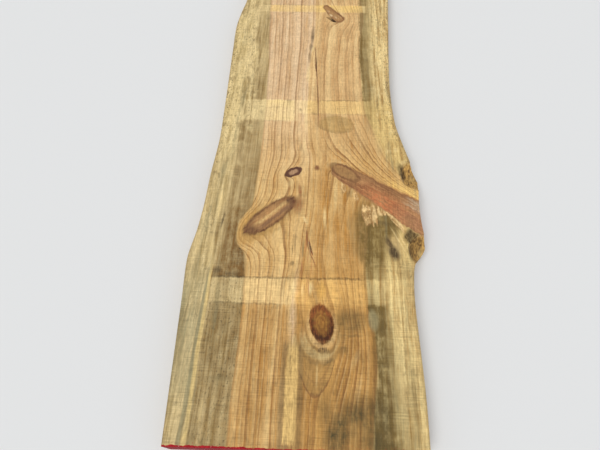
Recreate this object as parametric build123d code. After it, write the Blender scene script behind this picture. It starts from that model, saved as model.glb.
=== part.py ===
from build123d import *
import math
import os

# A live-edge slab sawn lengthwise through the pith of a log
# X runs across the slab, Y along it from the painted end, Z up, all in millimetres
# While it is shaped, X is 0 at the sawyer's line beside the pith and Z is 0 at the top face

# Saw cuts
length = 2440
thickness = 60
end_skew = 1.0

# The log before sawing, as the reach of its skin from the sawyer's line at the pith
# Each row is distance from the painted end, reach to the left, reach to the right
log_stations = [
    (110, 310, 279),
    (250, 317, 276),
    (350, 322, 274),
    (430, 327, 279),
    (465, 327, 288),
    (490, 324, 307),
    (515, 320, 321),
    (550, 315, 330),
    (630, 309, 335),
    (710, 307, 331),
    (745, 306, 322),
    (790, 303, 304),
    (880, 298, 281),
    (970, 299, 263),
    (1130, 303, 256),
    (1310, 308, 262),
    (1450, 311, 269),
    (1540, 302, 273),
    (1630, 288, 278),
    (1770, 285, 283),
    (1910, 292, 287),
    (2070, 300, 282),
    (2210, 301, 274),
    (2350, 295, 271),
]
butt_reach = (301, 275)
far_reach = (288, 273)
overrun = 80
section_spacing = 35

# The branch that left the log on the right, trimmed flush with the skin and a little hollow
trim_middle = (312, 630)
trim_radius = 690

# Rounded shoulders of the branch collar, where the skin dips under the top face
# Each row is the centre across and along, the radius of its mouth and its depth
shoulders = [
    (326, 506, 56, 24),
    (323, 764, 58, 22),
]

# Hole left in the far knot where its rotten rim fell out
hole_centre = (53, 1513)
hole_length = 50
hole_width = 13
hole_depth = 14
hole_heading = -36
hole_closing = 0.6

# Drying checks, each as its two ends, its width at the face and its depth
checks = [
    ((-5, 1345), (6, 1160), 2.2, 22),
    ((6, 1160), (13, 970), 1.4, 14),
    ((-9, 558), (18, 448), 1.6, 16),
    ((-46, 572), (-45, 450), 1.0, 8),
]


def slope(rows, index, side):
    """How fast the skin's reach changes at one row, from the rows beside it."""
    before = rows[max(index - 1, 0)]
    after = rows[min(index + 1, len(rows) - 1)]
    return (after[side] - before[side]) / (after[0] - before[0])


def skin_reach(rows, along, side):
    """The skin's reach anywhere along the log, on a smooth curve through the rows."""
    index = max(i for i, row in enumerate(rows[:-1]) if row[0] <= along)
    here, there = rows[index], rows[index + 1]
    span = there[0] - here[0]
    t = (along - here[0]) / span
    rise = there[side] - here[side]
    bend_here = slope(rows, index, side) * span - rise
    bend_there = rise - slope(rows, index + 1, side) * span
    lift = t * (1 - t) * ((1 - t) * bend_here + t * bend_there)
    return here[side] + t * rise + lift


def log_section(rows, along):
    """A round slice of the log, whose seam lies on top where the saw takes it off."""
    left = skin_reach(rows, along, 1)
    right = skin_reach(rows, along, 2)
    middle = Plane(((right - left) / 2, along, 0), x_dir=(0, 0, 1), z_dir=(0, 1, 0))
    return middle * Circle((left + right) / 2)


def scoop(across, along, mouth, depth):
    """The ball that leaves a round dip of that mouth and depth in the top face."""
    radius = (mouth**2 + depth**2) / (2 * depth)
    return Pos(across, along, radius - depth) * Sphere(radius)


def knot_hole():
    """A long hole that narrows towards its bottom."""
    mouth = Ellipse(hole_length / 2, hole_width / 2)
    bottom = Ellipse(hole_closing * hole_length / 2, hole_closing * hole_width / 2)
    hole = loft([Pos(0, 0, -hole_depth) * bottom, mouth])
    return Pos(*hole_centre, 0) * Rot(0, 0, hole_heading) * hole


def check(start, end, width, depth):
    """A drying check that is widest and deepest halfway between its ends."""
    run = Vector(*end) - Vector(*start)
    side = Vector(-run.Y, run.X).normalized() * width / 2
    middle = Vector(*start) + run / 2
    mouth = make_face(Polyline(Vector(*start), middle - side, Vector(*end), middle + side, close=True))
    return loft([mouth, Vertex(middle.X, middle.Y, -depth)])


# Log, with the branch collar and the waves of its skin
first = (-overrun, *butt_reach)
last = (length + overrun, *far_reach)
stations = [first, *[row for row in log_stations if row[0] < length], last]
section_count = math.ceil((last[0] - first[0]) / section_spacing)
section_step = (last[0] - first[0]) / section_count
places = [first[0] + i * section_step for i in range(section_count + 1)]
log = loft([log_section(stations, along) for along in places])

# Flat top and bottom from the saw, one end cut a little out of square
reach = 1.2 * max(max(left, right) for _, left, right in stations)
skew_rise = reach * math.tan(math.radians(end_skew))
left_reach = butt_reach[0] * math.tan(math.radians(end_skew))
cut_line = Polyline(
    (-reach, left_reach - skew_rise),
    (reach, left_reach + skew_rise),
    (reach, length),
    (-reach, length),
    close=True,
)
saw_cut = extrude(Plane.XY.offset(-thickness) * make_face(cut_line), thickness)
slab = log & saw_cut

# Branch sawn off flush
offcut = Cylinder(trim_radius, 3 * thickness)
slab -= Pos(trim_middle[0] + trim_radius, trim_middle[1], 0) * offcut

# Collar shoulders, knot hole and drying checks
for row in shoulders:
    slab -= scoop(*row)
slab -= knot_hole()
for row in checks:
    slab -= check(*row)

# Origin under the middle of the slab
box = slab.bounding_box()
slab = Pos(-box.center().X, -box.center().Y, -box.min.Z) * slab

os.makedirs("parts", exist_ok=True)
export_step(slab, "parts/slab.step")
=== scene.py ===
import math

import bmesh
import bpy
import numpy as np
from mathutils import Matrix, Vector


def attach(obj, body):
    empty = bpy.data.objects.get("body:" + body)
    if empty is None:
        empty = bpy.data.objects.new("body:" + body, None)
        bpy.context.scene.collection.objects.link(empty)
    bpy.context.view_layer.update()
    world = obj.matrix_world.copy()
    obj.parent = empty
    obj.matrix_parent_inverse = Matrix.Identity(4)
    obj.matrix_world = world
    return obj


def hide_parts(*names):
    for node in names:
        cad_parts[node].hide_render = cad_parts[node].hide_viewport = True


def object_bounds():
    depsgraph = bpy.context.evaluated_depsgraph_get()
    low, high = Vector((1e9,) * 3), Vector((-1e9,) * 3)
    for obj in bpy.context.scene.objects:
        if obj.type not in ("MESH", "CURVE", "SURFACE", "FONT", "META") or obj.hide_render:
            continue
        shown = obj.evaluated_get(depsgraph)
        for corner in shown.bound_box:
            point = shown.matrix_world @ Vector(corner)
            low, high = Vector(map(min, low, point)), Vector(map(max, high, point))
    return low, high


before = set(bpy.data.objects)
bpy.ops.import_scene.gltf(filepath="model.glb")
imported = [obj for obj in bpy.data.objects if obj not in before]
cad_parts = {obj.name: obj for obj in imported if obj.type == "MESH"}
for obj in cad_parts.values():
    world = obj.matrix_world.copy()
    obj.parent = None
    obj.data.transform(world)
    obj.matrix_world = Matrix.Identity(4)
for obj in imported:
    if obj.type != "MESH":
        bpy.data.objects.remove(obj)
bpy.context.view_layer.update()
scene = bpy.context.scene

# Sizes of the slab in millimetres, measured as in the part's source
# Across is 0 at the sawyer's line beside the pith, along is 0 at the painted end, and depth
# is 0 at the top face
LENGTH = 2440.0
THICKNESS = 60.0
END_SKEW = math.tan(math.radians(1.0))
BUTT_LEFT = 301.0
OVERRUN = 80.0
SKIN = np.array([
    (-OVERRUN, 301, 275), (110, 310, 279), (250, 317, 276), (350, 322, 274),
    (430, 327, 279), (465, 327, 288), (490, 324, 307), (515, 320, 321),
    (550, 315, 330), (630, 309, 335), (710, 307, 331), (745, 306, 322),
    (790, 303, 304), (880, 298, 281), (970, 299, 263), (1130, 303, 256),
    (1310, 308, 262), (1450, 311, 269), (1540, 302, 273), (1630, 288, 278),
    (1770, 285, 283), (1910, 292, 287), (2070, 300, 282), (2210, 301, 274),
    (2350, 295, 271), (LENGTH + OVERRUN, 288, 273),
], dtype=float)
TRIM_MIDDLE = (312.0, 630.0)
TRIM_RADIUS = 690.0
SHOULDERS = [(326, 506, 56, 24), (323, 764, 58, 22)]
HOLE_CENTRE = (53.0, 1513.0)
HOLE_HALF = (25.0, 6.5)
HOLE_DEPTH = 14.0
HOLE_HEADING = math.radians(-36)
CHECKS = [
    ((-5, 1345), (6, 1160), 2.2, 22),
    ((6, 1160), (13, 970), 1.4, 14),
    ((-9, 558), (18, 448), 1.6, 16),
    ((-46, 572), (-45, 450), 1.0, 8),
]
# Patches of torn fibres: centre across and along, half sizes across and along, lean in degrees
TEARS = [
    (169, 616, 30, 44, 6),
    (201, 633, 19, 24, 4),
    (240, 601, 13, 52, 34),
    (130, 678, 8, 23, 12),
    (95, 709, 8, 23, 8),
]

# Where the part's own frame has its origin
low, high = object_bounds()
ORIGIN_ALONG = LENGTH + 1000 * low[1]
ORIGIN_ACROSS = -2.897

# Mesh density, and how far off the top or an edge a point still belongs to it
ON_TOP = 0.01
ON_SIDE = 0.6
ROWS = 488
SIDE_STEPS = 12
LEFT_COLUMNS = 42
MIDDLE_COLUMNS = 9
RIGHT_COLUMNS = 45
HEART_PATH = [(0, 20), (448, 18), (558, -9), (970, 13), (1160, 6), (1345, -5), (LENGTH, -8)]
SECOND_PATH_ACROSS = -45.5
SHARP_ANGLE = math.radians(35)


def skin_reach(along, side):
    """The skin's reach to one side, on the same smooth curve as the part's source."""
    place, reach = SKIN[:, 0], SKIN[:, side]
    before = np.maximum(np.arange(len(place)) - 1, 0)
    after = np.minimum(np.arange(len(place)) + 1, len(place) - 1)
    slope = (reach[after] - reach[before]) / (place[after] - place[before])
    i = np.clip(np.searchsorted(place, along, "right") - 1, 0, len(place) - 2)
    span = place[i + 1] - place[i]
    t = (along - place[i]) / span
    rise = reach[i + 1] - reach[i]
    bend_here = slope[i] * span - rise
    bend_there = rise - slope[i + 1] * span
    return reach[i] + t * rise + t * (1 - t) * ((1 - t) * bend_here + t * bend_there)


def edge(along, depth, side):
    """Across position of the left (-1) or right (1) edge of the slab at a depth."""
    left, right = skin_reach(along, 1), skin_reach(along, 2)
    radius, middle = (left + right) / 2, (right - left) / 2
    across = middle + side * np.sqrt(radius**2 - depth**2)
    if side < 0:
        return across
    off = np.clip(along - TRIM_MIDDLE[1], -TRIM_RADIUS, TRIM_RADIUS)
    trim = TRIM_MIDDLE[0] + TRIM_RADIUS - np.sqrt(TRIM_RADIUS**2 - off**2)
    return np.minimum(across, trim)


def lattice(ix, iy, seed):
    """A fixed number from 0 to 1 for each lattice point."""
    wave = np.sin(ix * 127.1 + iy * 311.7 + seed * 74.7) * 43758.5453
    return wave - np.floor(wave)


def ripple(x, y, seed):
    """Smooth noise from 0 to 1."""
    ix, iy = np.floor(x), np.floor(y)
    fx, fy = x - ix, y - iy
    fx, fy = fx * fx * (3 - 2 * fx), fy * fy * (3 - 2 * fy)
    low_row = lattice(ix, iy, seed) * (1 - fx) + lattice(ix + 1, iy, seed) * fx
    high_row = lattice(ix, iy + 1, seed) * (1 - fx) + lattice(ix + 1, iy + 1, seed) * fx
    return low_row * (1 - fy) + high_row * fy


def step(low_edge, high_edge, x):
    t = np.clip((x - low_edge) / (high_edge - low_edge), 0, 1)
    return t * t * (3 - 2 * t)


def check_half_width(along, start, end, width):
    low_end, high_end = min(start[1], end[1]), max(start[1], end[1])
    t = (along - low_end) / (high_end - low_end)
    inside = (t > 0) & (t < 1)
    return np.where(inside, width / 2 * (1 - np.abs(2 * t - 1)), 0)


def top_depth(across, along):
    """How far the top face lies under the saw plane."""
    depth = 0.25 + 0.35 * ripple(across / 45, along / 130, 1)
    depth += 0.2 * ripple(across / 9, along / 60, 2)
    for u, v, mouth, deep in SHOULDERS:
        radius = (mouth**2 + deep**2) / (2 * deep)
        off = np.hypot(across - u, along - v)
        ball = np.sqrt(np.maximum(radius**2 - off**2, 0)) - (radius - deep)
        rough = 2.4 * ripple(across / 7, along / 9, 3) + 1.6 * ripple(across / 3, along / 5, 4)
        uneven = 5 * (ripple(across / 19, along / 21, 7) - 0.6) * step(-6, 4, ball)
        bowl = np.maximum(ball + uneven, 0)
        depth += bowl + rough * step(0, 5, bowl)
    u, v = across - HOLE_CENTRE[0], along - HOLE_CENTRE[1]
    run = u * math.cos(HOLE_HEADING) + v * math.sin(HOLE_HEADING)
    side = -u * math.sin(HOLE_HEADING) + v * math.cos(HOLE_HEADING)
    side = side + 2.0 * np.sin(run / 9)
    fall = np.hypot(run / HOLE_HALF[0], side / HOLE_HALF[1])
    depth += HOLE_DEPTH * (1 - step(0.72, 1.05, fall))
    zone, sliver = torn_fibres(across, along)
    depth += zone * (0.5 + 1.9 * (1 - sliver) * (0.5 + ripple(across / 6, along / 16, 8)))
    return depth


def torn_fibres(across, along):
    """Where the saw tore the grain beside the branch, and where a sliver stands up there."""
    zone, sliver = np.zeros_like(across), np.zeros_like(across)
    for i, (u, v, half_across, half_along, lean) in enumerate(TEARS):
        turn = math.radians(lean)
        side = (across - u) * math.cos(turn) + (along - v) * math.sin(turn)
        run = (along - v) * math.cos(turn) - (across - u) * math.sin(turn)
        ragged = 0.5 * ripple(side / 5, run / 40, 10 + i) + 0.12 * ripple(side / 2, run / 9, 20 + i)
        inside = 1 - step(0.72, 0.92, np.hypot(side / half_across, run / half_along) - 0.3 + ragged)
        bend = 1.5 * ripple(run / 14, side / 30, 30 + i)
        up = step(0.4, 0.72, ripple(side / 2.9 + bend, run / 24, 40 + i))
        sliver = np.where(inside > zone, up, sliver)
        zone = np.maximum(zone, inside)
    return zone, sliver


def check_depth(across, along):
    depth = np.zeros_like(across)
    for start, end, width, deep in CHECKS:
        half = check_half_width(along, start, end, width)
        middle = start[0] + (end[0] - start[0]) * (along - start[1]) / (end[1] - start[1])
        share = 1 - np.abs(across - middle) / np.maximum(half, 1e-6)
        fall = 2 * deep * half / width
        depth = np.maximum(depth, np.where(half > 0, fall * np.clip(share, 0, 1), 0))
    return depth


def columns(along):
    """Across position of each column of the top face, some of which follow the checks."""
    path = np.interp(along, [p[0] for p in HEART_PATH], [p[1] for p in HEART_PATH])
    path_half, second_half = np.full_like(along, 0.7), np.full_like(along, 0.5)
    for start, end, width, _ in CHECKS:
        half = check_half_width(along, start, end, width)
        if start[0] < -40:
            second_half = np.maximum(second_half, half)
        else:
            path_half = np.maximum(path_half, half)
    left, right = edge(along, 0, -1), edge(along, 0, 1)
    second = np.full_like(along, SECOND_PATH_ACROSS)
    stops = [left, second - second_half, second, second + second_half]
    stops += [path - path_half, path, path + path_half, right]
    counts = [LEFT_COLUMNS, 1, 1, MIDDLE_COLUMNS, 1, 1, RIGHT_COLUMNS]
    out = []
    for a, b, count in zip(stops, stops[1:], counts):
        out += [a + (b - a) * i / count for i in range(count)]
    return np.array(out + [right]).T


def slab_mesh():
    """The slab's surface: rows of points round it, and a grid over each end."""
    spread = np.arange(ROWS + 1) / ROWS
    along = spread * LENGTH
    top = columns(along)
    top_count = top.shape[1]
    share = (top - top[:, :1]) / (top[:, -1:] - top[:, :1])
    depths = THICKNESS * np.arange(1, SIDE_STEPS) / SIDE_STEPS
    right_side = np.array([edge(along, d, 1) for d in depths]).T
    left_side = np.array([edge(along, d, -1) for d in depths]).T
    low_left, low_right = edge(along, THICKNESS, -1), edge(along, THICKNESS, 1)
    bottom = low_left[:, None] + (low_right - low_left)[:, None] * share[:, ::2]
    rows = np.concatenate([top, right_side, bottom[:, ::-1], left_side[:, ::-1]], axis=1)
    low_depths = np.full(bottom.shape[1], THICKNESS)
    depth = np.concatenate([np.zeros(top_count), depths, low_depths, depths[::-1]])
    ring = rows.shape[1]
    start = (rows + BUTT_LEFT) * END_SKEW
    place = start + spread[:, None] * (LENGTH - start)
    points = np.stack([rows, place, np.broadcast_to(depth, rows.shape)], axis=2).reshape(-1, 3)
    faces = []
    for j in range(ROWS):
        for i in range(ring):
            k = (i + 1) % ring
            faces.append((j * ring + i, j * ring + k, (j + 1) * ring + k, (j + 1) * ring + i))
    points = list(map(tuple, points))
    for row, flip in ((0, False), (ROWS, True)):
        base = row * ring
        grid = [[base + i for i in range(top_count)]]
        for k, d in enumerate(depths):
            left_point = base + ring - 1 - k
            right_point = base + top_count + k
            a, b = points[left_point], points[right_point]
            line = [left_point]
            for i in range(1, top_count - 1):
                u = a[0] + (b[0] - a[0]) * share[row, i]
                v = LENGTH if flip else (u + BUTT_LEFT) * END_SKEW
                line.append(len(points))
                points.append((u, v, d))
            grid.append(line + [right_point])
        low_line = [base + top_count + SIDE_STEPS - 1 + i for i in range(bottom.shape[1])][::-1]
        caps = []
        for upper, lower in zip(grid, grid[1:]):
            caps += [(upper[i], upper[i + 1], lower[i + 1], lower[i]) for i in range(top_count - 1)]
        last = grid[-1]
        for i in range(bottom.shape[1] - 1):
            caps.append((last[2 * i], last[2 * i + 1], low_line[i]))
            caps.append((last[2 * i + 1], low_line[i + 1], low_line[i]))
            caps.append((last[2 * i + 1], last[2 * i + 2], low_line[i + 1]))
        faces += [face if flip else face[::-1] for face in caps]
    mesh = bpy.data.meshes.new("slab_wood")
    mesh.from_pydata(points, [], faces)
    return mesh


def refine(mesh, inside, cuts):
    """Divides the top face's quads where inside(across, along) is true."""
    bm = bmesh.new()
    bm.from_mesh(mesh)
    edges = set()
    for face in bm.faces:
        middle = face.calc_center_median()
        if middle.z < ON_TOP and inside(middle.x, middle.y):
            edges.update(face.edges)
    bmesh.ops.subdivide_edges(bm, edges=list(edges), cuts=cuts, use_grid_fill=True)
    bm.to_mesh(mesh)
    bm.free()


def add(name, data):
    """A new object in the scene, holding that data."""
    made = bpy.data.objects.new(name, data)
    scene.collection.objects.link(made)
    return made


def near_hole(u, v):
    return math.hypot(u - HOLE_CENTRE[0], v - HOLE_CENTRE[1]) < 38


def near_shoulder(u, v):
    return any(math.hypot(u - a, v - b) < mouth + 5 for a, b, mouth, _ in SHOULDERS)


def near_tear(u, v):
    return any(math.hypot((u - a) / (p + 8), (v - b) / (q + 6)) < 1 for a, b, p, q, _ in TEARS)


def shape_slab():
    mesh = slab_mesh()
    refine(mesh, near_hole, 3)
    refine(mesh, near_shoulder, 1)
    refine(mesh, near_tear, 2)
    count = len(mesh.vertices)
    co = np.zeros(count * 3)
    mesh.vertices.foreach_get("co", co)
    u, v, d = co.reshape(-1, 3).T.copy()
    on_top = d < ON_TOP
    fall = top_depth(u, v) * (1 - d / THICKNESS)
    fall += np.where(on_top, check_depth(u, v), 0)
    d = d + fall
    middle = (edge(v, 0, 1) + edge(v, 0, -1)) / 2
    side = np.sign(u - middle)
    held = d.clip(0, THICKNESS)
    off_edge = np.where(side > 0, edge(v, held, 1) - u, u - edge(v, held, -1))
    on_side = (off_edge < ON_SIDE) & ~on_top & (d < THICKNESS - ON_TOP)
    wave = 1.6 * ripple(v / 70, d / 16, 5) + 0.9 * ripple(v / 18, d / 5, 6)
    u = np.where(on_side, u - side * wave * np.minimum(1, d / 6), u)
    points = np.stack([u - ORIGIN_ACROSS, v - ORIGIN_ALONG, THICKNESS - d], axis=1) / 1000
    points = np.clip(points, np.array(low), np.array(high))
    zone, sliver = torn_fibres(u, v)
    for name, values in (("torn", np.where(on_top, zone, 0)), ("sliver", sliver)):
        mesh.attributes.new(name, "FLOAT", "POINT").data.foreach_set("value", values)
    mesh.vertices.foreach_set("co", points.reshape(-1))
    mesh.update()
    mesh.validate()
    mesh.shade_smooth()
    mesh.set_sharp_from_angle(angle=SHARP_ANGLE)
    return add("slab_wood", mesh)


slab = shape_slab()

# Shader arithmetic
material = bpy.data.materials.new("sawn_pine")
material.use_nodes = True
tree = material.node_tree
shader = tree.nodes["Principled BSDF"]


class Field:
    """A number worked out at every point of the wood, for ordinary arithmetic."""

    def __init__(self, socket):
        self.socket = socket

    def __add__(self, other):
        return maths("ADD", self, other)

    def __sub__(self, other):
        return maths("SUBTRACT", self, other)

    def __rsub__(self, other):
        return maths("SUBTRACT", other, self)

    def __mul__(self, other):
        return maths("MULTIPLY", self, other)

    def __truediv__(self, other):
        return maths("DIVIDE", self, other)

    __radd__ = __add__
    __rmul__ = __mul__


def node(kind, *values, **settings):
    """A shader node with its settings made and its first inputs plugged in."""
    made = tree.nodes.new("ShaderNode" + kind)
    for key, value in settings.items():
        setattr(made, key, value)
    for value, socket in zip(values, made.inputs):
        plug(value, socket)
    return made


def plug(value, socket):
    if isinstance(value, Field):
        value = value.socket
    if isinstance(value, bpy.types.NodeSocket):
        tree.links.new(value, socket)
    else:
        socket.default_value = value


def fill(made, inputs):
    """Plugs values into a node's inputs by their names."""
    for name, value in inputs.items():
        plug(value, made.inputs[name])
    return made


def maths(operation, *values):
    return Field(node("Math", *values, operation=operation).outputs[0])


def smooth(low_edge, high_edge, x):
    """0 below the first edge and 1 above the second, or the reverse where it is the higher."""
    made = node("MapRange", x, low_edge, high_edge, interpolation_type="SMOOTHSTEP", clamp=False)
    return Field(made.outputs[0])


def past(low_edge, high_edge):
    """0 below the first place along the slab and 1 above the second, or the reverse."""
    return smooth(low_edge, high_edge, v)


def window(x, low_out, low_in, high_out, high_in):
    """1 within a range, falling to 0 past either end of it."""
    return smooth(low_out, low_in, x) * smooth(high_out, high_in, x)


def near(x, outer, inner):
    """0 where a number is further from 0 than the outer reach, 1 within the inner one."""
    return smooth(outer, inner, maths("ABSOLUTE", x))


def limit(x, low_end=0, high_end=1):
    return maths("MINIMUM", maths("MAXIMUM", x, low_end), high_end)


def largest(fields):
    """The largest of several fields, each compared once it is made."""
    total = None
    for one in fields:
        total = one if total is None else maths("MAXIMUM", total, one)
    return total


def blend(a, b, share):
    """A number that goes from a to b."""
    return maths("MULTIPLY_ADD", b - a, share, a)


def local(where, centre, half, angle=0, tilt=0):
    """Places measured from a centre, turned by angles in degrees and divided by half sizes."""
    centre = (*centre, 0)[:3]
    half = (*half, 1e6)[:3]
    turn = (0, math.radians(tilt), math.radians(angle))
    return node("Mapping", where, centre, turn, half, vector_type="TEXTURE").outputs[0]


def noise(size, detail=2, seed=0, where=None):
    """Noise round 0, mostly from -1 to 1, with grains of a size across, along and in depth."""
    where = grain if where is None else where
    size = (*size, size[0])[:3]
    shift = (17 * seed, 31 * seed, 11 * seed)
    place = node("Mapping", where, shift, (0, 0, 0), tuple(1 / s for s in size))
    made = fill(node("TexNoise", place.outputs[0]), {"Scale": 1, "Detail": detail})
    return maths("MULTIPLY_ADD", Field(made.outputs[0]), 4, -2)


def nearness(centre, half, angle=0, tilt=0):
    """1 at the centre of an oval, falling to 0 along a straight line at its edge."""
    place = local(grain, centre, half, angle, tilt)
    return Field(node("TexGradient", place, gradient_type="SPHERICAL").outputs["Fac"])


FIELD_REACH = 8


def oval(centre, half, angle=0, tilt=0):
    """Distance from a centre in half sizes, so 1 on the oval's edge, measured up to 8."""
    far = tuple(h * FIELD_REACH for h in half)
    close_by = nearness(centre, far, angle, tilt)
    return maths("MULTIPLY_ADD", close_by, -FIELD_REACH, FIELD_REACH)


def curve(x, points):
    """A smooth curve through points: values by their places along the slab."""
    bottom, top = min(points.values()) - 1, max(points.values()) + 1
    made = node("FloatCurve", 1, x * (1 / LENGTH))
    line = made.mapping.curves[0]
    while len(line.points) < len(points):
        line.points.new(0.5, 0.5)
    for point, (place, value) in zip(line.points, points.items()):
        point.location = (place / LENGTH, (value - bottom) / (top - bottom))
        point.handle_type = "AUTO_CLAMPED"
    made.mapping.update()
    return Field(made.outputs[0]) * (top - bottom) + bottom


def tone(red, green, blue):
    """A colour written as it looks on a screen."""
    level = [c / 255 for c in (red, green, blue)]
    level = [c / 12.92 if c < 0.04045 else ((c + 0.055) / 1.055) ** 2.4 for c in level]
    return (*level, 1)


def mix(base, over, share, mode="MIX"):
    """One colour over another, each a socket or levels as they look on a screen."""
    made = node("Mix", data_type="RGBA", blend_type=mode)
    for value, place in ((share, 0), (base, 6), (over, 7)):
        plug(tone(*value) if isinstance(value, tuple) else value, made.inputs[place])
    return made.outputs[2]


def coat(colour, share, mode="MIX"):
    """Lays one more colour over the wood."""
    global wood
    wood = mix(wood, colour, share, mode)


def face(colour, share):
    """Lays one more colour over the wood's top face."""
    coat(colour, share * on_top)


def spot(centre, half, angle=0, edge=0.35):
    """1 in the middle of an oval and 0 outside it."""
    return smooth(0, 1 - edge, nearness(centre, half, angle))


def spots(rows):
    """The strongest of several ovals: centre, half sizes, strength, edge and any angle."""
    return largest(
        spot((u0, v0), (half_u, half_v), sum(angle), soft) * strength
        for u0, v0, half_u, half_v, strength, soft, *angle in rows
    )


def bar(centre, half, soft):
    """1 in a straight-sided patch along the grain and 0 outside it."""
    across = near(u - centre[0], half[0] + soft, half[0] - soft)
    return across * near(v - centre[1], half[1] + 3 * soft, half[1] - 3 * soft)


def turned(direction, start):
    """Distance from a start point in one direction."""
    back = -direction[0] * start[0] - direction[1] * start[1]
    part = maths("MULTIPLY_ADD", v, direction[1], back)
    return maths("MULTIPLY_ADD", u, direction[0], part)


def spike(start, end, start_radius, end_radius):
    """A branch seen lengthwise: distance to its bark, place along it and across it."""
    run = math.hypot(end[0] - start[0], end[1] - start[1])
    ahead = ((end[0] - start[0]) / run, (end[1] - start[1]) / run)
    along = turned(ahead, start)
    across = turned((-ahead[1], ahead[0]), start)
    held = limit(along, 0, run)
    radius = held * ((end_radius - start_radius) / run) + start_radius
    extra = along - held
    total = extra * extra + across * across + 0.64 * d * d
    return maths("SQRT", total) - radius, along, across


# Places in the wood, in millimetres, before and after the grain wanders
GRAIN_RANGE = 10000
here = node("TexCoord").outputs["Object"]
origin = (ORIGIN_ACROSS, ORIGIN_ALONG, THICKNESS)
sawn = node("Mapping", here, origin, (0, 0, 0), (1000, 1000, -1000)).outputs[0]
wander = noise((75, 280), 1, 0, sawn) * 3 + noise((13, 95), 2, 1, sawn) * 1.1
slip = noise((11, 40, 30), 2, 2, sawn) * 3
true_u, true_v, d = [Field(out) for out in node("SeparateXYZ", sawn).outputs]
moved = [(true_u + wander) * 0.001, (true_v + slip) * 0.001, d * 0.001]
moved = node("CombineXYZ", *moved).outputs[0]
grain = node("Mapping", moved, (0, 0, 0), (0, 0, 0), (1000, 1000, 1000)).outputs[0]


def ordinate(turn):
    """One coordinate of the grain, as the height of a gradient turned to face it."""
    turn = tuple(map(math.radians, turn))
    place = node("Mapping", grain, (0.5, 0, 0), turn, (1 / GRAIN_RANGE,) * 3).outputs[0]
    rise = Field(node("TexGradient", place, gradient_type="LINEAR").outputs["Fac"])
    return maths("MULTIPLY_ADD", rise, GRAIN_RANGE, -GRAIN_RANGE / 2)


u, v, d = ordinate((0, 0, 0)), ordinate((0, 0, -90)), ordinate((0, 90, 0))


def facing(direction):
    """How far the surface faces in a direction, from -1 to 1."""
    made = node("Normal", node("NewGeometry").outputs["Normal"])
    made.outputs["Normal"].default_value = direction
    return Field(made.outputs["Dot"])


on_top = smooth(0.45, 0.75, facing((0, 0, 1)))
on_end = near(facing((0, 1, 0)), 0.6, 0.8)
on_side = near(facing((1, 0, 0)), 0.5, 0.7)

# Streaks, blotches and marks
broad = noise((17, 420), 2, 3)
medium = noise((5, 130), 3, 4)
fine = noise((2.2, 44), 3, 5)
blotch = noise((48, 75), 4, 6)
mottle = noise((6, 11), 4, 7)
drag = noise((55, 3.6), 2, 8, sawn) * smooth(-0.7, 0.7, noise((40, 60), 2, 9))
fibre = noise((3.6, 17), 2, 29)
saw = noise((30, 2.2), 2, 36, sawn)
patchy = noise((26, 30), 3, 38)
streak = noise((9, 170), 3, 37)
close = smooth(560, 360, true_v)

# Heartwood's edges and the pith
PITH = {
    0: -31, 150: -31, 260: -30, 330: -32, 440: -22, 560: -10, 660: -2, 770: 0, 860: -12, 960: -20,
    1100: -23, 1260: -22, 1360: -12, 1500: -10, 1640: -12, 2440: -5,
}
HEART_LEFT = {
    0: -165, 300: -166, 420: -168, 470: -172, 500: -190, 545: -201, 590: -192, 620: -177,
    660: -167, 860: -163, 980: -162, 1100: -165, 1260: -172, 1500: -186, 1620: -190, 2440: -180,
}
HEART_RIGHT = {
    0: 152, 100: 160, 180: 168, 225: 170, 300: 157, 360: 152, 460: 150, 600: 158, 860: 168,
    960: 164, 1060: 156, 1260: 156, 1500: 160, 1640: 165, 2440: 158,
}
pith = curve(v, PITH)
heart_left = curve(v, HEART_LEFT)
heart_right = curve(v, HEART_RIGHT)
reach = u - pith
to_right = smooth(-4, 4, reach)
heart_reach = blend(pith - heart_left, heart_right - pith, to_right)

# Knots, with headings in degrees from straight across
LEFT_SPIKE = (-115, 603)
LEFT_HALF = (86, 31)
LEFT_HEADING = 44
LEFT_AHEAD = (0.719, 0.695)
RIGHT_HEADING = -34.7
FAR_HEADING = -56
near_knot = oval((37, 290), (28, 50), 10, 16)
left_knot = oval(LEFT_SPIKE, LEFT_HALF, LEFT_HEADING, 8)
left_out = (left_knot - 1) * LEFT_HALF[1]
left_across = turned((-LEFT_AHEAD[1], LEFT_AHEAD[0]), LEFT_SPIKE)
left_along = turned(LEFT_AHEAD, LEFT_SPIKE)
right_out, right_along, right_across = spike((85, 770), (335, 597), 28, 50)
far_out, _, far_across = spike((32, 1592), (80, 1520), 13, 22)
oval_knot = oval((-56, 760), (27, 16), 33, 10)
pin_knot = oval((15, 779), (10, 11))


def crowding(out, strength, fade):
    """How far the rings draw together round a knot: 1 where they don't."""
    return 1 - strength * maths("EXPONENT", maths("MAXIMUM", out, 0) * (-1 / fade))


above_spike = smooth(-35, 35, right_across)
crowd = (
    crowding(left_out, 0.32, 34)
    * (1 - (1 - crowding(right_out, 0.72, 85)) * blend(0.25, 1, above_spike))
    * crowding(far_out, 0.5, 45)
    * crowding((oval_knot - 1) * 18, 0.35, 24)
)
# Rings bulge to the right round the near knot and draw together below it
bulge = 46 * smooth(0, 1, nearness((78, 285), (130, 250)))
span = maths("ABSOLUTE", reach - bulge * to_right * smooth(190, 120, reach)) / heart_reach

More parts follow.
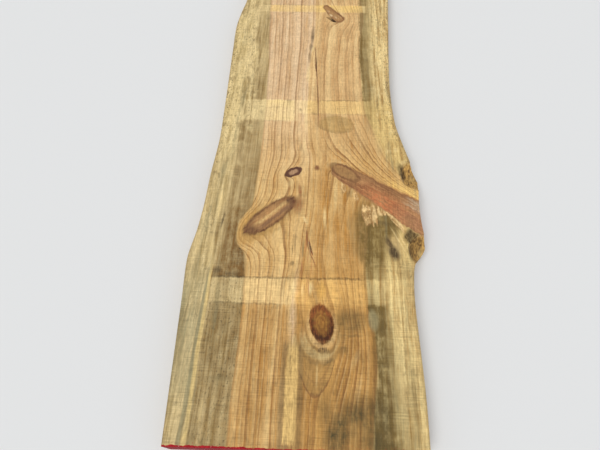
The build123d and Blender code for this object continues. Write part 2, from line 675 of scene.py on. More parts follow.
# Growth rings round the pith
RINGS_IN_HEART = 12.5
RINGS_OUTSIDE = 27
ring_place = maths("SQRT", (span * crowd) * (span * crowd) + (d / 150) * (d / 150))
rings = (
    RINGS_IN_HEART * maths("MINIMUM", ring_place, 1)
    + RINGS_OUTSIDE * maths("MAXIMUM", ring_place - 1, 0)
)
sway_place = rings * 0.45
sway = fill(node("TexNoise", noise_dimensions="1D"), {"W": sway_place, "Scale": 1})
rings += maths("MULTIPLY_ADD", Field(sway.outputs[0]), 2.4, -1.2)
ring = maths("FLOOR", rings)
phase = maths("FRACT", rings)
dice = fill(node("TexWhiteNoise", noise_dimensions="1D"), {"W": ring})
chance = Field(dice.outputs["Value"])
late = window(phase, 0.62, 0.92, 1, 0.95)
edge_soft = 0.02 + 0.1 * to_right * spot((220, 790), (120, 200))
plain_span = maths("ABSOLUTE", reach) / heart_reach
heart_place = blend(plain_span, plain_span * crowd, to_right)
heart = smooth(1 + edge_soft, 1 - edge_soft, heart_place + 0.01 * medium)

# Ring arcs below the near knot
arc = (v - 115) - (u - 24) * (u - 24) * 0.036 + 3 * mottle
arc_side = near(u - 26, 56, 42)
arc_zone = smooth(-2, 10, arc) * arc_side * past(250, 215)
arc_line = near(arc - 3, 6, 1) + 0.5 * near(arc - 34, 5, 1)
arc_line = arc_line * arc_side * past(225, 190)

# Clean bands across the face, and the dark lines along their edges
tilt = v - 0.02 * u
edge_wave = noise((60, 400), 1, 11) * 1.5
# Low and high line, left and right end, strength
BANDS = [
    (338, 411, -252, 205, 1),
    (972, 1068, -236, -60, 1.35),
    (1006, 1068, -60, 188, 0.74),
    (1558, 1604, -225, 190, 1),
    (2130, 2200, -230, 190, 0.8),
]
# Line, left and right end, width, strength
LINES = [
    (411, -245, 150, 5, 1.05),
    (338, -245, -62, 4, 0.7),
    (1068, 12, 150, 5, 0.8),
    (972, -165, -92, 4, 0.4),
    (1005, 15, 185, 4, 0.35),
    (1604, -220, 0, 4.5, 0.5),
]


def ends_of(left_end, right_end, soft):
    return window(u, left_end - soft, left_end + soft, right_end + soft, right_end - soft)


def band(low_line, high_line, left_end, right_end, strength):
    inside = window(tilt + edge_wave, low_line - 5, low_line + 6, high_line + 4, high_line - 5)
    return inside * ends_of(left_end, right_end, 16) * (0.85 + 0.3 * blotch) * strength


def dark_line(line, left_end, right_end, width, strength):
    off = maths("ABSOLUTE", tilt + edge_wave - line)
    ends = ends_of(left_end, right_end, 15)
    return smooth(width, width * 0.2, off) * ends * strength


clean = largest(band(*row) for row in BANDS) * on_top
marks = largest(dark_line(*row) for row in LINES)
arch = v - 1557 + (u + 71) * (u + 71) * 0.007
marks = maths("MAXIMUM", marks, near(arch, 4, 1) * near(u + 71, 58, 42) * 0.5)
marks = marks * (0.75 + 0.4 * medium) * (0.8 + 0.3 * blotch)

# Colours of clean wood
RIGHT_WARMTH = {0: 26, 330: 32, 700: 26, 960: 14, 1200: 12, 2440: 12}
grime = past(345, 300) * (1 - 0.25 * blotch)
right_warmth = curve(v, RIGHT_WARMTH) * 0.01
far_away = past(620, 1150)
up_slab = past(430, 760)
warm = 0.4 + 0.24 * broad + 0.22 * medium + 0.12 * fine + right_warmth * to_right
warm += 0.3 * (chance - 0.5)
warm = warm + 0.2 * grime - clean * blend(0.6, 0.34, to_right) - 0.1 * blotch - 0.06 * far_away
heart_pale = mix((242, 204, 138), mix((243, 210, 165), (244, 208, 147), to_right), far_away)
heart_pale = mix(heart_pale, (242, 192, 112), past(500, 380) * to_right)
heart_near = mix((182, 128, 58), (188, 138, 72), to_right * close)
heartwood = mix(heart_pale, mix(heart_near, (190, 140, 84), far_away), warm)
dull = 0.42 + 0.4 * broad + 0.4 * medium + 0.36 * streak + 0.16 * blotch + 0.2 * patchy
dull = dull + 0.16 * fine + grime * blend(0.12, -0.04, to_right)
dull = dull - 0.22 * clean - 0.1 * up_slab - far_away * (0.04 - 0.35 * streak)
sap_right = mix((235, 202, 130), (248, 218, 152), past(1030, 1130))
sap_pale = mix((238, 211, 152), mix(sap_right, (253, 225, 156), close), to_right)
sapwood = mix(sap_pale, mix((160, 134, 82), (170, 132, 74), to_right), dull)
wood = mix(sapwood, heartwood, heart)
clean_tone = mix((254, 222, 152), (238, 196, 114), to_right)
clean_tone = mix(clean_tone, (240, 198, 114), past(1200, 1500))
coat(clean_tone, clean * far_away * heart * 0.72)

# Latewood lines
line_strength = blend(0.68 - 0.12 * close, 0.46, to_right) * (0.4 + 0.85 * chance)
line_strength = line_strength * (0.9 + 0.3 * broad) * (1 - 0.22 * far_away)
line_strength += 0.26 * smooth(0, 0.5, nearness((120, 180), (75, 150)))
line_strength += 0.3 * smooth(0, 0.6, nearness((150, 800), (150, 110)))
line_strength = line_strength * blend(0.42, 1, heart) * (1 - 0.5 * arc_zone)
quiet = smooth(20, 45, u) * past(400, 450) * past(700, 620)
line_strength *= 1 - 0.6 * quiet
coat((130, 82, 42), late * limit(line_strength) * 0.88)
early = window(phase, 0, 0.08, 0.4, 0.15) * heart
coat((248, 214, 152), early * line_strength * 0.3)
fanned = spot((185, 775), (125, 80), -32, 0.4) * smooth(-4, 6, right_out) * (1 - late)
coat((246, 196, 116), fanned * 0.22)
coat((138, 92, 52), arc_line * 0.75)
coat((168, 132, 76), arc_zone * 0.45)

# Blue stain turned olive, in a band along each side of the heartwood
STAIN_LEFT = {
    0: -256, 330: -256, 345: -262, 420: -262, 450: -246, 600: -244, 660: -242, 960: -240,
    1060: -215, 1300: -214, 1400: -234, 1560: -236, 1640: -225, 2440: -230,
}
STAIN_RIGHT = {
    0: 228, 110: 218, 220: 208, 330: 203, 440: 198, 470: 204, 530: 208, 590: 250, 640: 230,
    690: 190, 1060: 194, 1300: 196, 1640: 202, 2440: 195,
}
STAIN_RIGHT_INNER = {
    0: 153, 100: 160, 220: 168, 330: 156, 345: 150, 430: 150, 480: 135, 560: 125, 630: 130,
    700: 150, 1060: 160, 1260: 156, 1500: 160, 2440: 158,
}
LEFT_STRENGTH = {
    0: 0.38, 120: 0.44, 325: 0.53, 415: 1, 600: 1, 650: 0.66, 940: 0.62, 1080: 0.6, 1250: 0.46,
    1500: 0.4, 2440: 0.36,
}
RIGHT_STRENGTH = {
    0: 1.06, 325: 1.08, 420: 0.62, 470: 0.95, 600: 0.86, 680: 0.2, 760: 0.06, 960: 0.15,
    1060: 0.74, 1120: 0.84, 1540: 0.8, 2440: 0.7,
}
ragged = 5 * noise((12, 70), 3, 12) + 4 * medium + 2.5 * mottle
inner_soft = 5 + 10 * past(345, 240) + 22 * spot((140, 550), (90, 120))
left_soft = 14 + 16 * past(420, 470) * past(680, 600)
stain_left = smooth(-1 * left_soft, left_soft, u + ragged - curve(v, STAIN_LEFT))
stain_left *= smooth(5, -4, u - heart_left + 2 * medium)
stain_left *= 0.9 + 0.35 * smooth(40, 5, heart_left - u) * past(620, 300)
right_soft = 22 + 36 * past(330, 120)
stain_right = smooth(right_soft, -1 * right_soft, u + ragged - curve(v, STAIN_RIGHT))
stain_right *= smooth(-1 * inner_soft, inner_soft, u + ragged - curve(v, STAIN_RIGHT_INNER))
stain = stain_left * curve(v, LEFT_STRENGTH) + stain_right * curve(v, RIGHT_STRENGTH)
uneven = 0.08 * medium + 0.2 * broad + 0.2 * mottle + 0.2 * fibre + 0.3 * patchy
stain = stain * (1 - 0.74 * clean) * (1 + uneven * (1 - 0.45 * far_away)) * on_top
stain_tone = mix((112, 76, 28), (108, 85, 38), to_right)
coat(stain_tone, limit(stain * blend(0.8, 0.9, to_right), 0, 0.92))

# Mould specks on the sapwood, and in the stain near the painted end
near_specks = smooth(0.2, 0.8, noise((4, 8), 2, 41)) * stain_left * close
face((84, 68, 38), near_specks * 0.5)
speck_place = noise((50, 130), 2, 13) + past(700, 1050) * 0.8
speck_zone = smooth(1.15, 1.35, plain_span) * smooth(-0.3, 0.9, speck_place)
face((120, 100, 66), smooth(0.1, 0.8, noise((6, 14), 3, 14)) * speck_zone * 0.6)
grey_zone = smooth(1.15, 1.4, plain_span) * smooth(0.2, 0.9, noise((26, 240), 3, 27))
face((142, 132, 96), grey_zone * 0.55)


def sap_patches(low_edge, high_edge, size, detail, seed):
    """Patches in the sapwood further up."""
    found = smooth(low_edge, high_edge, noise(size, detail, seed))
    return found * smooth(1.1, 1.3, plain_span) * past(560, 900)


patches = sap_patches(0.05, 0.85, (20, 46), 4, 42)
face((146, 120, 76), patches * (1 - 0.6 * clean) * blend(0.52, 0.26, to_right))
face((250, 224, 162), sap_patches(0.1, 0.9, (24, 40), 3, 43) * 0.4)
outer_pale = smooth(-236, -266, u + 2 * ragged) * past(760, 940) * past(1750, 1500)
face((250, 222, 150), outer_pale * (0.75 + 0.4 * mottle + 0.3 * blotch) * 0.2)


# Specks of bark left along the edges
def skin_curve(side):
    """The skin's reach to one side of the log."""
    places = range(0, 2441, 61)
    return curve(v, {p: float(skin_reach(np.array(float(p)), side)) for p in places})


left_reach, right_reach = skin_curve(1), skin_curve(2)
inset = maths("MINIMUM", u + left_reach, right_reach - u)
edge_specks = smooth(0.2, 0.7, noise((5, 9), 3, 32)) * smooth(30, 3, inset)
face((92, 72, 46), edge_specks * past(500, 1050) * 0.75)
face((150, 124, 84), smooth(7, 1, inset + mottle) * 0.45)

# Dark smudges and spots on the face: centre, half sizes, strength, edge, any angle
SMUDGES = [
    (78, 42, 42, 72, 1, 0.3, -12), (124, 88, 78, 60, 0.95, 0, 24),
    (108, 62, 96, 76, 0.7, 0), (150, 30, 66, 46, 0.7, 0),
    (50, 84, 26, 70, 0.55, 0.1, 10), (146, 66, 34, 76, 0.75, 0.1),
    (182, 66, 30, 80, 0.5, 0), (-198, 148, 48, 14, 0.45, 0.1),
    (-240, 424, 17, 15, 0.75, 0.2), (-205, 418, 38, 9, 0.6, 0.1),
    (108, 300, 54, 44, 0.62, 0.35), (108, 263, 52, 6, 0.5, 0.2),
    (112, 306, 46, 4, 0.3, 0.2), (262, 440, 34, 50, 0.4, 0),
    (92, 225, 16, 22, 0.45, 0.1, -30), (56, 197, 22, 6, 0.6, 0.2, 35),
    (254, 120, 10, 190, 0.35, 0.3), (205, 590, 38, 10, 0.5, 0.2, -12),
    (-46, 453, 9, 9, 0.75, 0.3), (-41, 523, 4, 40, 0.5, 0.2),
    (-17, 500, 5, 44, 0.62, 0.2), (-187, 491, 4, 3, 0.95, 0.3),
    (-248, 580, 5, 34, 0.95, 0.3, -8), (-304, 440, 12, 56, 0.34, 0.1),
    (-281, 738, 5, 16, 0.65, 0.2),
    (-40, 860, 7, 26, 0.5, 0.1), (-46, 1022, 10, 11, 0.55, 0.1),
    (0, 1007, 13, 10, 0.5, 0.1), (-176, 1006, 10, 11, 0.45, 0.1),
    (-86, 1062, 15, 13, 0.5, 0.1), (-83, 1048, 4, 24, 0.45, 0.1),
    (-18, 1410, 10, 76, 0.85, 0.2), (-21, 1346, 11, 34, 0.85, 0.2),
    (-24, 1292, 9, 46, 0.7, 0.2), (55, 992, 38, 24, 0.35, 0.1),
    (178, 985, 10, 60, 0.3, 0.1, 8), (206, 1540, 3, 30, 0.6, 0.2),
    (-190, 1515, 22, 26, 0.35, 0.1), (40, 1466, 9, 34, 0.4, 0.1, 8),
    (150, 690, 60, 10, 0.4, 0.1, -28), (112, 690, 16, 26, 0.5, 0.1, -20),
    (-140, 535, 40, 8, 0.35, 0.1, 38), (110, 585, 5, 30, 0.4, 0.1),
    (-88, 560, 34, 8, 0.4, 0.1, 38), (-150, 1030, 90, 5, 0.2, 0.1, 4),
]
# Pale patches, torn fibres and lines of clean wood, in the same order
PALES = [
    (-36, 300, 14, 70, 0.4, 0.2),
    (-30, 240, 10, 30, 0.7, 0.3, 4), (44, 209, 26, 20, 0.5, 0.2, 22),
    (22, 245, 30, 14, 0.5, 0.3, -38), (8, 385, 9, 26, 0.85, 0.2),
    (-38, 384, 11, 30, 0.7, 0.2), (-14, 378, 6, 26, 0.4, 0.2),
    (28, 165, 4, 40, 0.5, 0.2), (118, 205, 11, 40, 0.25, 0.1, -22),
    (126, 140, 9, 44, 0.2, 0.1, -12),
    (39, 600, 7, 52, 0.75, 0.2, 3), (-15, 592, 7, 22, 0.75, 0.2, 28),
    (70, 690, 6, 56, 0.55, 0.2, -5), (234, 515, 34, 50, 0.4, 0.1),
    (72, 660, 7, 70, 0.4, 0.1, -2),
    (245, 535, 4, 62, 0.75, 0.2, 25), (259, 530, 3, 58, 0.6, 0.2, 24),
    (-30, 865, 6, 46, 0.6, 0.1), (-26, 1200, 9, 62, 0.8, 0.3),
    (-26, 985, 8, 80, 0.6, 0.2), (-14, 1335, 8, 24, 0.6, 0.2, -12),
    (226, 150, 16, 190, 0.25, 0.1), (-60, 720, 14, 26, 0.35, 0.1, -30),
    (-230, 75, 7, 44, 0.45, 0.1),
    (60, 250, 18, 8, 0.7, 0.2, 20), (-263, 632, 10, 84, 0.7, 0.3),
    (-270, 486, 14, 64, 0.45, 0.2), (-160, 700, 4, 60, 0.4, 0.1),
    (60, 1545, 12, 26, 0.2, 0.1, 32),
]
smudge = spots(SMUDGES) * (0.88 + 0.3 * mottle + 0.2 * medium + 0.3 * patchy) * on_top
coat(mix((80, 64, 40), (74, 68, 40), grime), limit(smudge * 0.8))
pale = spots(PALES) * (0.95 + 0.45 * medium) * on_top
coat((246, 216, 152), pale * 0.85)
dark_spot = spots([(229, 496, 19, 33, 1, 0.3, 18), (218, 524, 11, 32, 0.8, 0.25, 28)])
dark_spot = limit(dark_spot * (0.95 + 0.35 * mottle + 0.25 * fibre)) * on_top
coat((110, 92, 62), spot((226, 504), (30, 58), 22, 0) * on_top * 0.55)
coat((64, 46, 28), dark_spot * 0.9)
streak_off = maths("ABSOLUTE", u + 30 + 0.8 * mottle + 2 * medium)
pith_streak = smooth(16, 10, streak_off) * smooth(250, 222, v + 6 * fibre)
pith_streak *= smooth(8, 26, v + 6 * fibre)
pith_streak = pith_streak * (0.88 + 0.2 * medium + 0.12 * mottle + 0.1 * fibre) * on_top
coat((236, 196, 122), limit(pith_streak))
coat((136, 110, 70), bar((-30, 120), (25, 120), 5) * (1 - pith_streak) * on_top * 0.58)
outer_grey = smooth(-262, -282, u - 0.02 * v) * past(40, 170) * past(480, 360)
face((158, 154, 120), outer_grey * (0.7 + 0.5 * medium + 0.4 * blotch) * 0.45)
edge_line = near(u + 270 - 0.02 * v + 2 * medium, 7, 2) * past(480, 380)
face((146, 140, 106), edge_line * 0.6)
face((240, 208, 136), near(u + 258, 6, 2) * past(480, 400) * 0.6)

# Torn fibres beside the trimmed branch, pale where a sliver stands up
torn_zone = Field(node("Attribute", attribute_name="torn").outputs["Fac"])
slivers = Field(node("Attribute", attribute_name="sliver").outputs["Fac"])
sliver_share = limit(0.25 + slivers * 0.7 + 0.3 * mottle + 0.15 * fibre)
torn_tone = mix((164, 122, 68), (246, 208, 146), sliver_share)
face(torn_tone, torn_zone * (0.78 + 0.2 * mottle))

# Greenish patch beside the near knot, orange glow above it, and reddish streaks at the pith
coat((160, 146, 104), spot((166, 305), (17, 36), 4, 0.5) * on_top * 0.75)
coat((232, 178, 92), spot((36, 378), (16, 36), 0, 0.3) * on_top * 0.7)
red_streaks = smooth(0.1, 0.9, noise((3.2, 60), 2, 15)) * spot((-8, 420), (30, 240), 3, 0.2)
face((178, 108, 82), limit(red_streaks * 0.6))

# Ring left by something wet
wet = oval((75, 965), (59, 38)) + 0.06 * mottle + 0.05 * blotch
wet_edge = near(wet - 1, 0.2, 0.05) * smooth(1000, 950, v + 0.2 * u) * (0.8 + 0.4 * medium)
face((140, 112, 62), limit(wet_edge * 0.5))
face((172, 138, 76), smooth(1, 0.8, wet) * 0.5)

# Halo of slanting grain round the left spike knot
coat((200, 152, 78), smooth(30, 4, left_out) * smooth(50, -40, left_along) * heart * 0.6)
halo_low = smooth(24, 4, left_out) * smooth(10, -10, left_across)
coat((150, 114, 66), halo_low * 0.35 * (1 + medium))


def knot_noise(angle, size, detail, seed):
    """Noise drawn out along a knot that lies at an angle."""
    return noise(size, detail, seed, local(grain, (0, 0), (1, 1, 1), angle))


def knot_wood(out, across, angle, tones, rim_width, rim_low, rim_high):
    """A spike knot: streaked along its length, with a dark rim that differs side to side."""
    heart_tone, side_tone, rim_tone = tones
    streak = knot_noise(angle, (46, 3.6, 6), 3, 16)
    wide = knot_noise(angle, (90, 12, 12), 2, 17)
    inner = mix(side_tone, heart_tone, limit(0.5 + 0.45 * streak + 0.45 * wide))
    coat(inner, smooth(1.5, -1.5, out))
    line = smooth(-0.9 * rim_width, -0.1 * rim_width, out) * smooth(6, -1, out)
    zone = smooth(-2.1 * rim_width, -0.2 * rim_width, out + 3 * wide) * smooth(3, -2, out)
    rim = maths("MAXIMUM", line * (0.9 + 0.25 * wide), 0.42 * zone)
    rim *= blend(rim_low, rim_high, smooth(-10, 10, across))
    coat(rim_tone, rim * (0.82 + 0.3 * streak + 0.3 * mottle))


# Left spike knot, with a pale streak above a dark lower side
left_edge = left_out + 1.4 * knot_noise(LEFT_HEADING, (34, 14, 14), 1, 31) + 0.2 * mottle
LEFT_TONES = (208, 162, 104), (172, 122, 74), (98, 60, 36)
knot_wood(left_edge, left_across, LEFT_HEADING, LEFT_TONES, 13, 1, 0.96)
streak_here = window(left_along, -75, -30, 85, 50)
pale_core = near(left_across - 3 + 2 * mottle, 8, 1) * streak_here
coat((222, 184, 120), pale_core * (0.62 + 0.3 * mottle))
coat((112, 76, 58), near(left_across + 13 + mottle, 10, 2) * streak_here * 0.6)
TIPS = [
    (-163, 553, 26, 22, 0.75, 0.2, 44),
    (-61, 656, 16, 11, 0.9, 0.4, 44),
    (-52, 648, 15, 26, 0.5, 0.2, 10),
]
coat((100, 66, 44), spots(TIPS) * (0.9 + 0.4 * mottle + 0.3 * fibre) * 0.86)
beyond = spots([(-36, 640, 22, 44, 1, 0.2, -10), (-34, 690, 7, 40, 1, 0.3, 6)])
coat((158, 104, 62), beyond * (0.7 + 0.3 * fibre + 0.3 * mottle) * 0.92)

# Right spike knot, brown at the pith end and salmon along its lower side
right_edge = right_out + 0.5 * mottle + 2.5 * blotch
right_edge += 2 * knot_noise(RIGHT_HEADING, (18, 14, 14), 2, 33)
RIGHT_TONES = (192, 142, 92), (146, 98, 60), (114, 76, 46)
knot_wood(right_edge, right_across, RIGHT_HEADING, RIGHT_TONES, 14, 0.15, 0.55)
salmon = smooth(26, -12, right_across) * smooth(50, 150, right_along) * smooth(2, -7, right_edge)
salmon_streak = knot_noise(RIGHT_HEADING, (50, 5, 6), 3, 30)
salmon *= 0.62 + 0.45 * blotch + 0.7 * salmon_streak + 0.3 * mottle
outward = smooth(190, 262, right_along + 30 * blotch)
coat(mix((210, 128, 80), (184, 132, 92), outward), limit(salmon))
brown_streak = smooth(-0.1, 0.9, salmon_streak + blotch) * smooth(0, -6, right_edge)
coat((128, 82, 50), brown_streak * 0.5)
silver = smooth(0, 20, right_across) * smooth(195, 245, right_along) * smooth(0, -6, right_edge)
silver *= 0.58 + 0.9 * knot_noise(RIGHT_HEADING, (60, 3.2, 6), 2, 18)
coat((206, 184, 152), limit(silver) * 0.8)
fringe = window(right_edge, 13, 1, -1, 1) * smooth(5, -15, right_across)
fringe = fringe * smooth(30, 90, right_along) * (0.5 + 0.5 * fibre) * (1 - torn_zone)
face((178, 128, 84), limit(fringe) * 0.7)
rim = window(right_edge, 20, 0, -3, 1) * smooth(0, 12, right_across) * smooth(20, 70, right_along)
face((190, 134, 76), rim * (0.55 + 0.3 * mottle))
pith_end = oval((98, 766), (46, 20), -34)
coat((168, 128, 78), smooth(1.05, 0.75, pith_end) * (0.7 + 0.25 * fibre))
coat((112, 76, 44), near(pith_end - 1.05, 0.26, 0.05) * 0.55)
yellow_edge = window(right_out, 48, 12, 0, 8) * smooth(10, 40, right_across)
yellow_edge = yellow_edge * smooth(90, 190, right_along) * (1 - 0.75 * late) * (0.8 + 0.4 * medium)
coat((252, 210, 122), yellow_edge * on_top * 0.8)

# Near knot: rings round an orange core inside a dark red rim, and a pale crescent below
knot_place = near_knot + 0.04 * mottle + 0.02 * medium + 0.02 * patchy
core_rings = 0.5 + 0.5 * maths("SINE", knot_place * 26 + 1.6 * blotch)
core = mix((180, 128, 58), (126, 78, 34), core_rings * 0.3 + 0.38 + 0.5 * mottle)
coat(core, smooth(1.12, 0.9, knot_place + 0.04 * mottle))
rim_place = knot_place + 0.08 * blotch + 0.07 * mottle + 0.0024 * (300 - v) + 0.001 * (u - 37)
near_rim = smooth(0.42, 0.86, rim_place) * smooth(1.17, 0.88, knot_place + 0.05 * mottle)
rim_red = 0.38 + 0.5 * mottle + 0.4 * fibre + 0.008 * (v - 300) + 0.004 * (37 - u)
coat(mix((76, 36, 14), (150, 86, 42), rim_red), near_rim * 0.95)
outer_place = oval((34, 268), (56, 72)) + 0.05 * mottle
crescent = smooth(1, 0.86, outer_place) * smooth(1.45, 1.6, knot_place) * past(288, 244) * on_top
coat((198, 172, 118), crescent * (0.55 + 0.35 * mottle))
face((132, 106, 66), near(outer_place - 1.04, 0.12, 0.03) * past(275, 240) * 0.34)
near_halo = window(knot_place, 1.42, 1.2, 1, 1.08) * past(345, 270)
coat((228, 186, 122), near_halo * (0.7 + 0.3 * mottle))
below = spot((35, 240), (20, 15), 0, 0.3) * (0.8 + 0.4 * mottle) * on_top
coat((160, 110, 66), below * 0.38)
face((128, 104, 66), near(knot_place - 1.45, 0.12, 0.03) * past(300, 260) * 0.4)
dashes = smooth(0.1, 0.5, noise((3.4, 22, 22), 1, 19)) * spot((42, 224), (20, 8), 0, 0.5)
face((110, 84, 48), spot((42, 222), (24, 9), -10, 0.2) * (0.6 + 0.4 * mottle) * 0.7)
face((82, 60, 42), limit(dashes * 0.75))
face((64, 38, 24), spot((36, 256), (17, 8), 0, 0.2) * (0.7 + 0.5 * mottle) * 0.75)
pink = spots([(-36, 300, 13, 90, 1, 0.2), (-30, 400, 12, 60, 0.6, 0.2)])
pink *= 0.6 + 0.4 * medium + 0.4 * mottle
face((232, 196, 158), limit(pink * 0.6))

# Small knots
oval_place = oval_knot + 0.03 * mottle
coat((180, 140, 104), smooth(1.06, 0.9, oval_place))
coat((88, 50, 36), window(oval_place, 0.38, 0.68, 1.12, 0.94) * 0.92)
coat((126, 74, 46), smooth(1.3, 0.3, pin_knot) * 0.85)

# Far knot, with a dark rim on its outer side
FAR_TONES = (222, 178, 118), (158, 108, 62), (112, 62, 32)
knot_wood(far_out + mottle, far_across, FAR_HEADING, FAR_TONES, 14, 0.75, 0.95)
FAR_PALES = [
    (52, 1540, 9, 15, 1, 0.2, 30),
    (70, 1528, 6, 14, 0.7, 0.2, 34),
    (40, 1566, 5, 12, 0.6, 0.2, 34),
]
face((232, 200, 150), smooth(20, 12, d) * spots(FAR_PALES) * (0.8 + 0.4 * fibre))

# Trimmed branch on the edge: growth rings round its own pith, inside a line of bark
branch_ring = oval((0, 618, 2), (1e6, 74, 64)) + 0.03 * mottle
branch_late = smooth(0.4, 0.9, maths("FRACT", branch_ring * 8))
branch = mix((196, 138, 98), (142, 90, 60), limit(branch_late * 0.7 + 0.3 * mottle))
branch = mix(branch, (104, 70, 46), near(branch_ring - 1, 0.14, 0.03) * 0.7)
branch_face = smooth(1.1, 1.03, branch_ring) * smooth(200, 250, u)

# Surface under the bark: long streaks, darker where scraps of bark are left
bast_streak = noise((24, 90, 5), 3, 20)
bast_long = noise((40, 260, 11), 3, 40)
bast = mix((210, 184, 138), (136, 104, 68), limit(0.42 + 0.35 * bast_streak + 0.4 * bast_long))
scale_patch = smooth(0.3, 0.75, noise((40, 90, 15), 4, 21) + 0.15 * fibre)
bast = mix(bast, (116, 84, 56), scale_patch * 0.6)
trimmed = spot((330, 618), (200, 112), 0, 0.85)
trim_wood = mix((206, 168, 110), (150, 110, 66), limit(0.45 + 0.6 * fibre + 0.3 * mottle))
coat(mix(mix(bast, trim_wood, trimmed), branch, branch_face), on_side)

# Broken shoulders of the collar, with painted shade in their dips where they meet the branch
bowl = spots([(326, 506, 70, 70, 1, 0.7), (323, 764, 72, 72, 1, 0.7)])
chunks = noise((5, 16), 3, 39)
torn = mix((220, 172, 94), (100, 68, 34), limit(0.5 + 0.5 * chunks + 0.4 * fibre + 0.4 * blotch))
shoulder = bowl * smooth(-1, 7, d + 4 * chunks + 2 * mottle) * smooth(34, 18, d + 5 * blotch)
coat(torn, limit(shoulder) * (1 - on_end))
# Painted shade in the shoulders' dips: centre, half sizes, strength, edge, any angle
PAINTED_SHOULDER_SHADES = [
    (281, 552, 24, 34, 1, 0.5, -30),
    (279, 506, 13, 46, 0.8, 0.3, -4),
    (297, 572, 26, 18, 0.9, 0.4, -20),
    (270, 776, 15, 40, 1, 0.4, 8),
    (302, 528, 26, 44, 0.55, 0.2),
]
painted_shoulder_shade = limit(spots(PAINTED_SHOULDER_SHADES) * (0.85 + 0.3 * mottle + 0.25 * chunks))
painted_shoulder_shade = painted_shoulder_shade * smooth(26, 14, d) * smooth(-1, 6, right_edge)
# Dark brown painted shade in the dips of the shoulders
coat((74, 52, 22), painted_shoulder_shade * 0.92 * (1 - on_end))

# Hole and drying checks: dark inside, with painted shade deep in the hole, and a red-brown stain
# beside the checks
CRACK_PATH = {0: 30, 440: 18, 560: -9, 640: -9, 960: 13, 1160: 6, 1345: -5, 2440: -5}
sunk = smooth(1.3, 4, d) * on_top * smooth(0.1, 0, bowl) * smooth(30, 20, d)
in_hole = spot(HOLE_CENTRE, (32, 13), -36, 0.6)
coat((172, 100, 66), limit(sunk * 0.9) * (1 - torn_zone))
# Painted shade deep inside the hole
coat((62, 38, 24), in_hole * smooth(0.8, 2, d) * smooth(24, 18, d) * 0.9)
beside_crack = near(true_u - curve(v, CRACK_PATH), 3 - 0.9 * close, 0.4)
crack_reach = largest([window(v, 432, 452, 566, 548), window(v, 905, 985, 1352, 1335) * 0.8])
crack_tone = mix((122, 62, 42), (150, 80, 52), close)
face(crack_tone, limit(beside_crack * crack_reach * (0.7 + 0.3 * medium)))

# Streaks, drag marks and blotches over everything sawn
shade = 1 + 0.09 * medium + 0.15 * fine + 0.07 * blotch + 0.1 * mottle
shade = shade + (0.13 + 0.04 * close) * fibre + 0.07 * patchy
shade = shade + (0.17 + 0.05 * close) * drag + (0.05 + 0.04 * close) * saw + 0.06 * close * blotch
shade = shade * (1 - 0.09 * grime * on_top) * (1 - 0.62 * limit(marks) * on_top)
coat(node("CombineColor", shade, shade, shade).outputs[0], 1, "MULTIPLY")

# Sawn ends: end grain is darker, and its rings are plainer
coat(mix((206, 166, 112), (140, 98, 58), late * 0.8), on_end * 0.75)

# Red sealer on the near end, with a ragged lap over the arris, darker on the end face as painted
# shade
from_end = true_v - (true_u + BUTT_LEFT) * END_SKEW
lap = 3.4 + 2.4 * noise((34, 60), 2, 22) + 1 * noise((6, 9), 2, 23)
lap *= blend(1.15, 0.7, smooth(-180, -60, u))
painted = maths("MAXIMUM", smooth(lap + 0.7, lap - 0.7, from_end), on_end * past(60, 30))
flecks = smooth(0.5, 0.8, noise((2.2, 3.5), 2, 24)) * smooth(16, 5, from_end)
painted = limit(painted + flecks * 0.7)
paint_wear = noise((9, 9, 6), 3, 25)
# The sealer's red is darkened on the end face: painted shade
sealer_and_end_shade = mix((192, 14, 30), (128, 4, 16), limit(0.45 + 0.4 * paint_wear + 0.45 * on_end))
sealer_and_end_shade = mix(sealer_and_end_shade, (226, 130, 126), smooth(0.7, 1, paint_wear) * 0.6)
coat(sealer_and_end_shade, painted)

# Surface
rough = 0.74 + 0.06 * medium - 0.06 * late + 0.05 * on_side
rough = blend(rough, 0.72 + 0.1 * paint_wear, painted)
height = 0.10 * fine + 0.12 * medium + 0.2 * drag + 0.08 * fibre + 0.6 * on_side * bast_streak
bump = fill(node("Bump"), {"Strength": 0.8, "Distance": 0.001, "Height": height})
fill(shader, {"Base Color": wood, "Roughness": rough, "Specular IOR Level": 0.3})
fill(shader, {"Normal": bump.outputs[0]})
slab.data.materials.append(material)
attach(slab, "root")
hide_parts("slab")

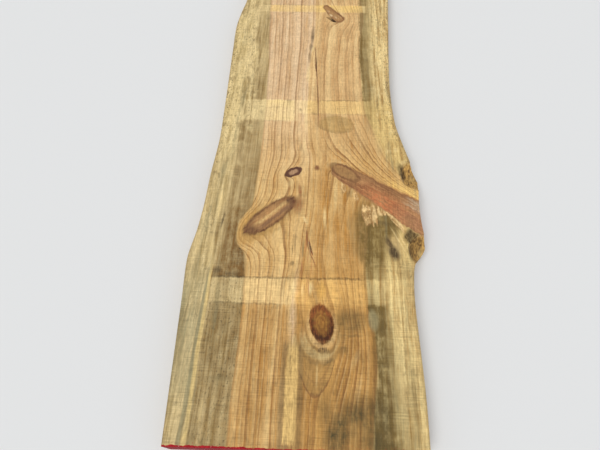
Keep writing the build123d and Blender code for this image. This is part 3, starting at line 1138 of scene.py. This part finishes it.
# Camera at the photograph's place: above the near end, looking steeply down along the slab
FOCAL_PIXELS = 450
FRAME_WIDTH = 600
FRAME_HEIGHT = 450
VANISHING = (338, -515)
SENSOR_WIDTH = 36
CAMERA_HEIGHT = 1080
CAMERA_BACK = 82.94
pitch = math.atan((FRAME_HEIGHT / 2 - VANISHING[1]) / FOCAL_PIXELS)
yaw = math.atan((VANISHING[0] - FRAME_WIDTH / 2) * math.cos(pitch) / FOCAL_PIXELS)
lens = bpy.data.cameras.new("camera")
lens.sensor_width = SENSOR_WIDTH
lens.lens = SENSOR_WIDTH * FOCAL_PIXELS / FRAME_WIDTH
camera = add("camera", lens)
camera.location = (
    (0 - ORIGIN_ACROSS) / 1000,
    (-CAMERA_BACK - ORIGIN_ALONG) / 1000,
    (THICKNESS + CAMERA_HEIGHT) / 1000,
)
camera.rotation_euler = (math.pi / 2 - pitch, 0, yaw)
scene.camera = camera

# Floor, which is seen only from above, so that the slab's underside can be looked at
FLOOR_REACH = 120
FLOOR_DROP = 0.0002
corners = [(-1, -1), (1, -1), (1, 1), (-1, 1)]
corners = [(x * FLOOR_REACH, y * FLOOR_REACH, -FLOOR_DROP) for x, y in corners]
floor_mesh = bpy.data.meshes.new("floor")
floor_mesh.from_pydata(corners, [], [(0, 1, 2, 3)])
floor = add("floor", floor_mesh)
floor_material = bpy.data.materials.new("floor")
floor_material.use_nodes = True
tree = floor_material.node_tree
plain = tree.nodes["Principled BSDF"]
fill(plain, {"Base Color": (0.8, 0.8, 0.79, 1), "Roughness": 0.9})
from_below = node("NewGeometry").outputs["Backfacing"]
touching = maths("LESS_THAN", node("LightPath").outputs["Ray Length"], 3 * FLOOR_DROP)
see_through = maths("MAXIMUM", from_below, touching)
clear = node("BsdfTransparent").outputs[0]
cover = node("MixShader", see_through, plain.outputs[0], clear)
fill(tree.nodes["Material Output"], {"Surface": cover.outputs[0]})
floor.data.materials.append(floor_material)

# Light, behind a pale backdrop that only the camera sees
SKY_STRENGTH = 0.55
SUN_STRENGTH = 1.6
SUN_SPREAD = math.radians(35)
SUN_TURN = (math.radians(25), math.radians(-20), 0)
world = bpy.data.worlds.new("world")
scene.world = world
world.use_nodes = True
tree = world.node_tree
sky_light = tree.nodes["Background"]
fill(sky_light, {"Color": (0.95, 0.97, 1, 1), "Strength": SKY_STRENGTH})
backdrop = node("Background", (0.75, 0.76, 0.76, 1))
camera_sees = node("LightPath").outputs["Is Camera Ray"]
sky = node("MixShader", camera_sees, sky_light.outputs[0], backdrop.outputs[0])
fill(tree.nodes["World Output"], {"Surface": sky.outputs[0]})
sun_data = bpy.data.lights.new("sky", "SUN")
sun_data.energy = SUN_STRENGTH
sun_data.angle = SUN_SPREAD
add("sky", sun_data).rotation_euler = SUN_TURN

scene.view_settings.view_transform = "Standard"
